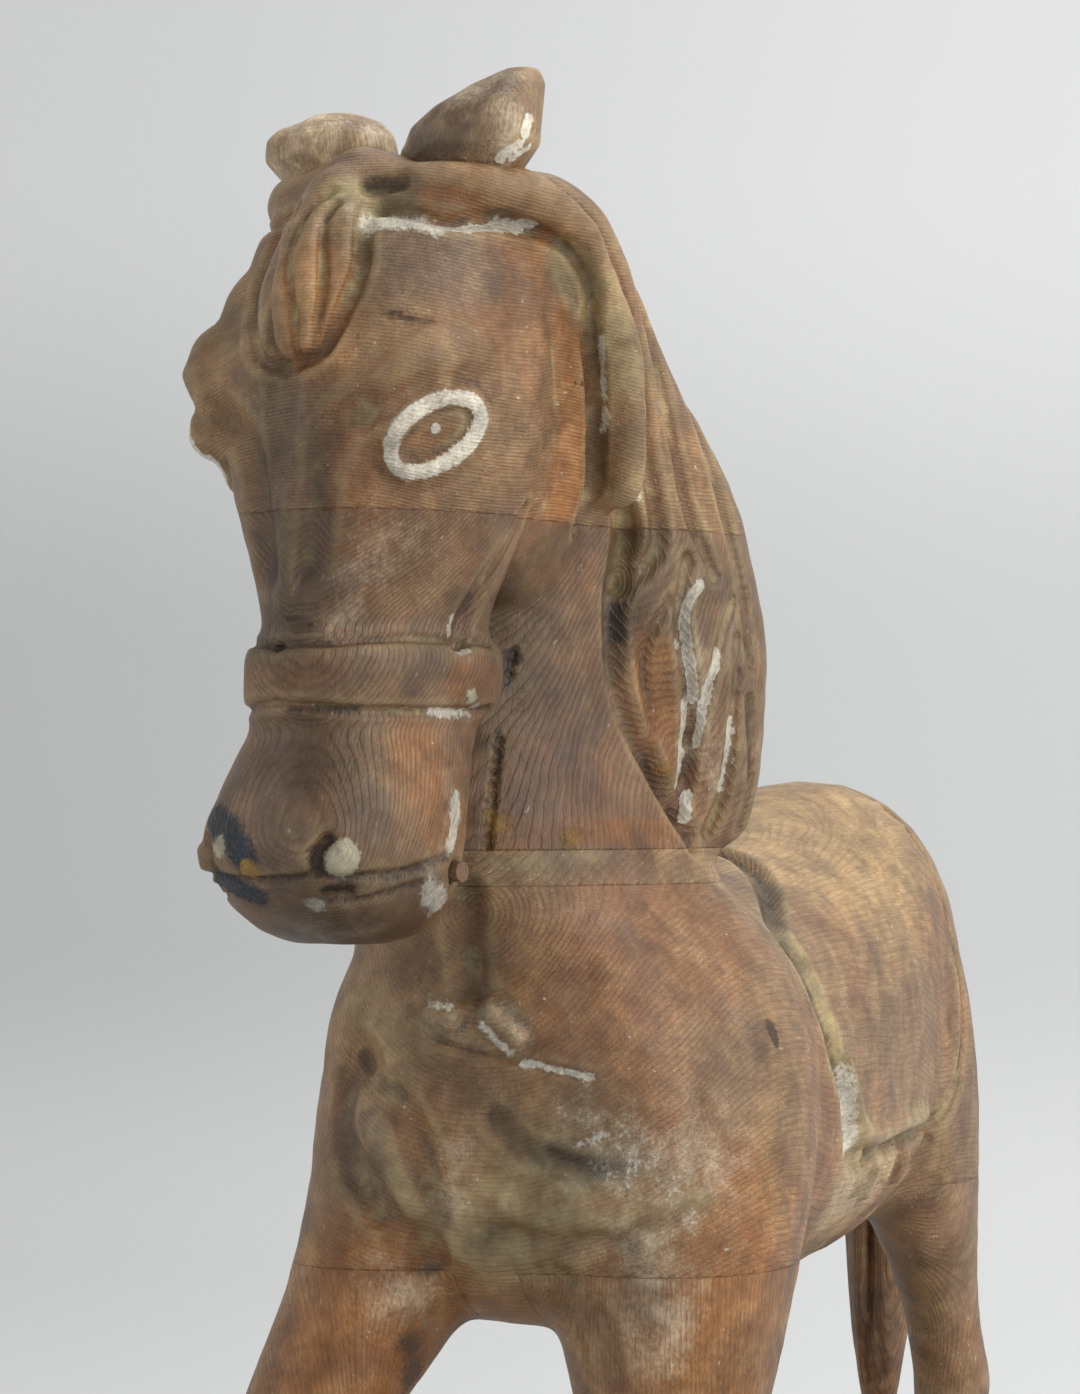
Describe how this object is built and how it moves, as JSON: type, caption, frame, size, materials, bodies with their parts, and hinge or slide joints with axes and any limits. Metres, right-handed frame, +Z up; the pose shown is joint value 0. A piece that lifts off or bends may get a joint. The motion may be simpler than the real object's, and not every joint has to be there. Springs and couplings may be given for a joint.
{
  "type": "pull along toy",
  "caption": "Carved wooden horse glued up from blocks, standing on a wheeled board, with a screw eye and loose ring for pulling it along.",
  "frame": {"origin": "on the ground, under the middle of the whole toy's bounding box", "axes": "+Z up; the horse faces -Y; its left side is +X"},
  "size_m": [0.27, 0.5572, 0.7615],
  "materials": {
    "pine": "stripped and limed",
    "pine_worn": "stripped, worn",
    "beech": "raw",
    "board_wood": "worn",
    "iron": "dark, dull"
  },
  "bodies": {
    "toy": {"axle_bearer_front": "board_wood", "axle_bearer_front_screw_left": "iron", "axle_bearer_front_screw_right": "iron", "axle_bearer_rear": "board_wood", "axle_bearer_rear_screw_left": "iron", "axle_bearer_rear_screw_right": "iron", "axle_front": "iron", "axle_rear": "iron", "bit_peg_left": "beech", "bit_peg_right": "beech", "body_block": "pine", "ear_left": "pine", "ear_right": "pine", "foreleg_left": "pine_worn", "foreleg_left_dowel": "beech", "foreleg_left_hoof_dowel": "beech", "foreleg_right": "pine_worn", "foreleg_right_dowel": "beech", "foreleg_right_hoof_dowel": "beech", "head_dowel": "beech", "head_neck_block": "pine", "head_top_block": "pine", "hindleg_left": "pine_worn", "hindleg_left_dowel": "beech", "hindleg_left_hoof_dowel": "beech", "hindleg_right": "pine_worn", "hindleg_right_dowel": "beech", "hindleg_right_hoof_dowel": "beech", "linch_pin_front_left": "iron", "linch_pin_front_right": "iron", "linch_pin_rear_left": "iron", "linch_pin_rear_right": "iron", "neck_board": "pine", "neck_dowel_front": "beech", "neck_dowel_rear": "beech", "platform_board": "board_wood", "pull_eye": "iron", "tail": "pine", "washer_front_left": "iron", "washer_front_right": "iron", "washer_rear_left": "iron", "washer_rear_right": "iron"},
    "wheel_front_left_body": {"wheel_front_left": "board_wood"},
    "wheel_front_right_body": {"wheel_front_right": "board_wood"},
    "wheel_rear_left_body": {"wheel_rear_left": "board_wood"},
    "wheel_rear_right_body": {"wheel_rear_right": "board_wood"},
    "ring_body": {"pull_ring": "iron"}
  },
  "joints": [
    {"name": "wheel_front_left_spin", "type": "hinge", "parent": "toy", "child": "wheel_front_left_body", "pos_m": [0.1072, -0.1734, 0.042], "axis": [1, 0, 0], "continuous": true},
    {"name": "wheel_front_right_spin", "type": "hinge", "parent": "toy", "child": "wheel_front_right_body", "pos_m": [-0.1072, -0.1734, 0.042], "axis": [1, 0, 0], "continuous": true},
    {"name": "wheel_rear_left_spin", "type": "hinge", "parent": "toy", "child": "wheel_rear_left_body", "pos_m": [0.1072, 0.1936, 0.042], "axis": [1, 0, 0], "continuous": true},
    {"name": "wheel_rear_right_spin", "type": "hinge", "parent": "toy", "child": "wheel_rear_right_body", "pos_m": [-0.1072, 0.1936, 0.042], "axis": [1, 0, 0], "continuous": true},
    {"name": "pull_ring_swing", "type": "hinge", "parent": "toy", "child": "ring_body", "pos_m": [0, -0.2705, 0.1], "axis": [1, 0, 0], "range_deg": [-110, 25]}
  ]
}
